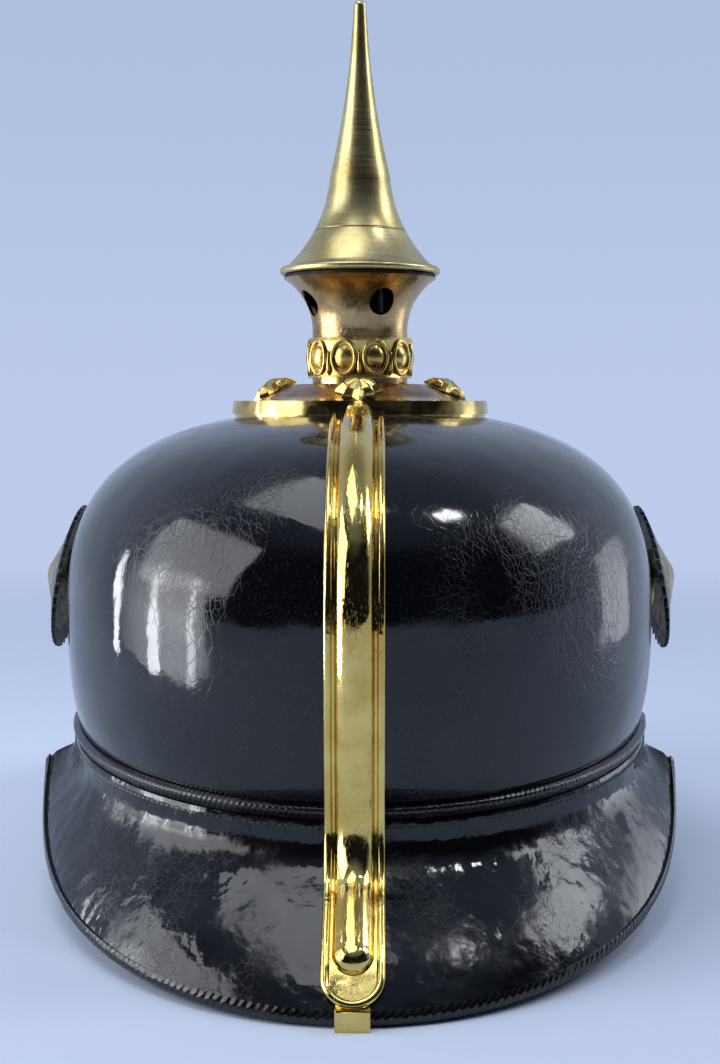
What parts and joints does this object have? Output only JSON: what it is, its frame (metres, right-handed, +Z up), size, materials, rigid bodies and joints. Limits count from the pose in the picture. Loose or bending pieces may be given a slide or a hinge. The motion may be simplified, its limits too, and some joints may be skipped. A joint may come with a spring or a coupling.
{
  "type": "spiked leather parade helmet",
  "caption": "Black lacquered leather dress helmet with front and rear visors, brass spine, round base plate, vented neck and screw-on spike, and a scaled chin strap.",
  "frame": {"origin": "middle of the footprint, on the surface that the helmet stands on", "axes": "+Z up along the spike, -Y the way the wearer looks, +X the wearer's left"},
  "size_m": [0.1984, 0.2831, 0.2609],
  "materials": {
    "lacquered_leather": "gloss",
    "patent_leather": "gloss",
    "binding_leather": "satin",
    "strap_leather": "satin",
    "lining_leather": "matte",
    "brass": "polished",
    "steel": "satin",
    "black_enamel": "satin"
  },
  "bodies": {
    "helmet": {"skull": "lacquered_leather", "rear_visor": "patent_leather", "rear_visor_binding": "binding_leather", "rear_seam_band": "patent_leather", "front_visor": "patent_leather", "front_visor_trim": "brass", "front_seam_band": "patent_leather", "rear_spine": "brass", "spine_hook": "brass", "base_plate": "brass", "star_studs": "brass", "stud_nuts": "steel", "pearl_ring": "brass", "spike_neck": "brass", "neck_bush": "brass", "sweatband": "lining_leather", "liner_tongues": "lining_leather", "side_post_right": "steel", "post_nut_right": "brass", "cockade_right": "black_enamel", "cockade_centre_right": "brass", "side_post_left": "steel", "post_nut_left": "brass", "cockade_left": "black_enamel", "cockade_centre_left": "brass"},
    "screw": {"spike_screw": "brass"},
    "spike": {"spike": "brass"},
    "chin_strap": {"strap_buckle": "brass", "strap_leather_right": "strap_leather", "strap_end_right": "brass", "strap_scales_right": "brass", "strap_leather_left": "strap_leather", "strap_end_left": "brass", "strap_scales_left": "brass"}
  },
  "joints": [
    {"name": "spike_lift", "type": "slide", "parent": "helmet", "child": "screw", "axis": [0, 0, 1], "range_m": [0, 0.009]},
    {"name": "spike_turn", "type": "hinge", "parent": "screw", "child": "spike", "pos_m": [0, 0, 0.2], "axis": [0, 0, 1], "range_deg": [0, 2160]},
    {"name": "strap_swing", "type": "hinge", "parent": "helmet", "child": "chin_strap", "pos_m": [0, -0.008, 0.085], "axis": [-1, 0, 0], "range_deg": [0, 50]}
  ],
  "couplings": [
    {"joint": "spike_turn", "follows": "spike_lift", "rad_per_m": 4188.8}
  ]
}
